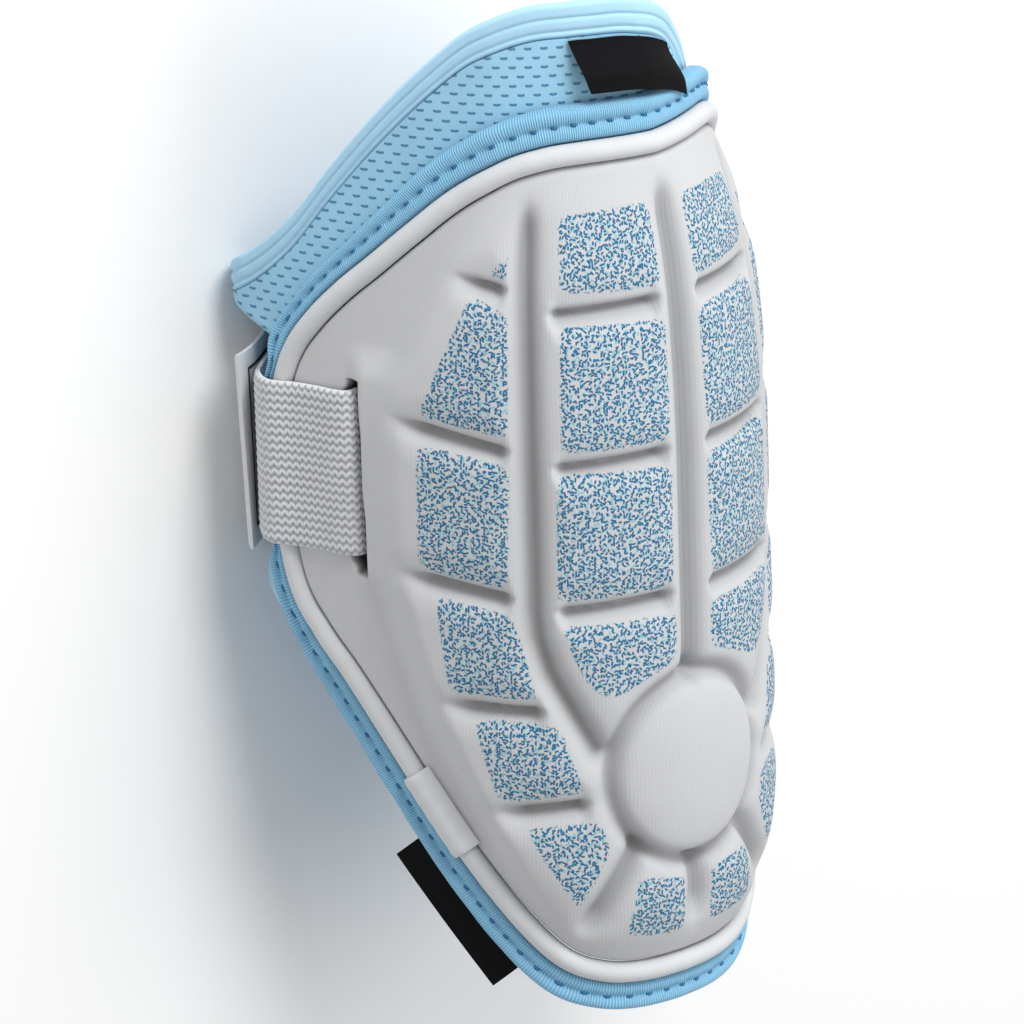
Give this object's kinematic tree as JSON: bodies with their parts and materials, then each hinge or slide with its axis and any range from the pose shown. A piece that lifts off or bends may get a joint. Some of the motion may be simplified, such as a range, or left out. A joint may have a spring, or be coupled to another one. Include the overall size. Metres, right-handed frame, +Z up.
{
  "type": "baseball elbow guard",
  "caption": "Moulded elbow guard with a ribbed pad, round boss, stitched edge binding, mesh arm sleeve and elastic strap.",
  "frame": {"origin": "on the ground under the middle of the guard's box, with the guard lying on its strap and the pad upwards", "axes": "+Z up out of the pad's crown, +Y along the arm towards the upper arm, -Y towards the elbow end and forearm, +X across the arm"},
  "size_m": [0.1274, 0.2438, 0.1033],
  "materials": {
    "pad_fabric": "light grey knit moulded over foam",
    "bead_fabric": "smooth white rolled bead",
    "binding_tape": "light blue ribbed tape, stitched",
    "lining_fabric": "blue brushed lining",
    "mesh_fabric": "light blue stretch fabric with small slits",
    "hem_fabric": "smooth light blue folded hem",
    "strap_elastic": "light grey ribbed elastic",
    "tab_fabric": "light grey tab with a dark border",
    "label_tape": "plain black woven label"
  },
  "bodies": {
    "root": {"shell": "pad_fabric", "rim_bead": "bead_fabric", "rim_sleeve": "bead_fabric", "edge_binding": "binding_tape", "liner": "lining_fabric", "sleeve": "mesh_fabric", "top_band": "hem_fabric", "lower_band": "hem_fabric", "strap": "strap_elastic", "hook_tab": "tab_fabric", "top_label": "label_tape", "side_label": "label_tape"}
  },
  "joints": []
}
